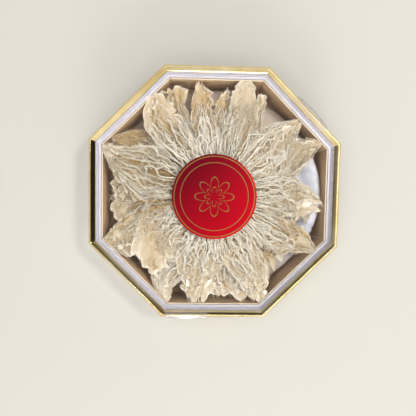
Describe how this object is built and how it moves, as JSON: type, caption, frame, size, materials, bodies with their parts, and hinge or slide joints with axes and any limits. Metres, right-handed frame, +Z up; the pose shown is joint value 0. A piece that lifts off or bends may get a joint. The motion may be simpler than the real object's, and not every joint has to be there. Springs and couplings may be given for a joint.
{
  "type": "edible bird's nest gift box",
  "caption": "Octagonal box with a clear lid in a gold frame, packed with dried edible bird's nest strips laid like petals on a white pad.",
  "frame": {"origin": "centre of the base's flat underside, on the surface that the box lies on", "axes": "+Z up out of the lid, +Y to the top of the picture, +X to its right"},
  "size_m": [0.2, 0.2028, 0.0406],
  "materials": {
    "clear_plastic": "clear, polished",
    "gold_plate": "gold plated, mirror bright",
    "tan_card": "matt, pale cut edges",
    "white_wadding": "soft, matt",
    "dried_nest": "dried, fibrous, slightly translucent",
    "red_foil": "red foil with gold rings",
    "clear_film": "clear adhesive film"
  },
  "bodies": {
    "root": {"box_base": "clear_plastic", "card_tray": "tan_card", "clear_lid": "clear_plastic", "lid_frame": "gold_plate", "nest_strip_01": "dried_nest", "nest_strip_02": "dried_nest", "nest_strip_03": "dried_nest", "nest_strip_04": "dried_nest", "nest_strip_05": "dried_nest", "nest_strip_06": "dried_nest", "nest_strip_07": "dried_nest", "nest_strip_08": "dried_nest", "nest_strip_09": "dried_nest", "nest_strip_10": "dried_nest", "nest_strip_11": "dried_nest", "nest_strip_12": "dried_nest", "nest_strip_13": "dried_nest", "nest_strip_14": "dried_nest", "nest_strip_15": "dried_nest", "nest_strip_16": "dried_nest", "nest_strip_17": "dried_nest", "nest_strip_18": "dried_nest", "nest_strip_19": "dried_nest", "nest_strip_20": "dried_nest", "nest_strip_21": "dried_nest", "pad": "white_wadding", "round_seal": "red_foil", "seal_tape_front": "clear_film", "seal_tape_right": "clear_film"}
  },
  "joints": []
}
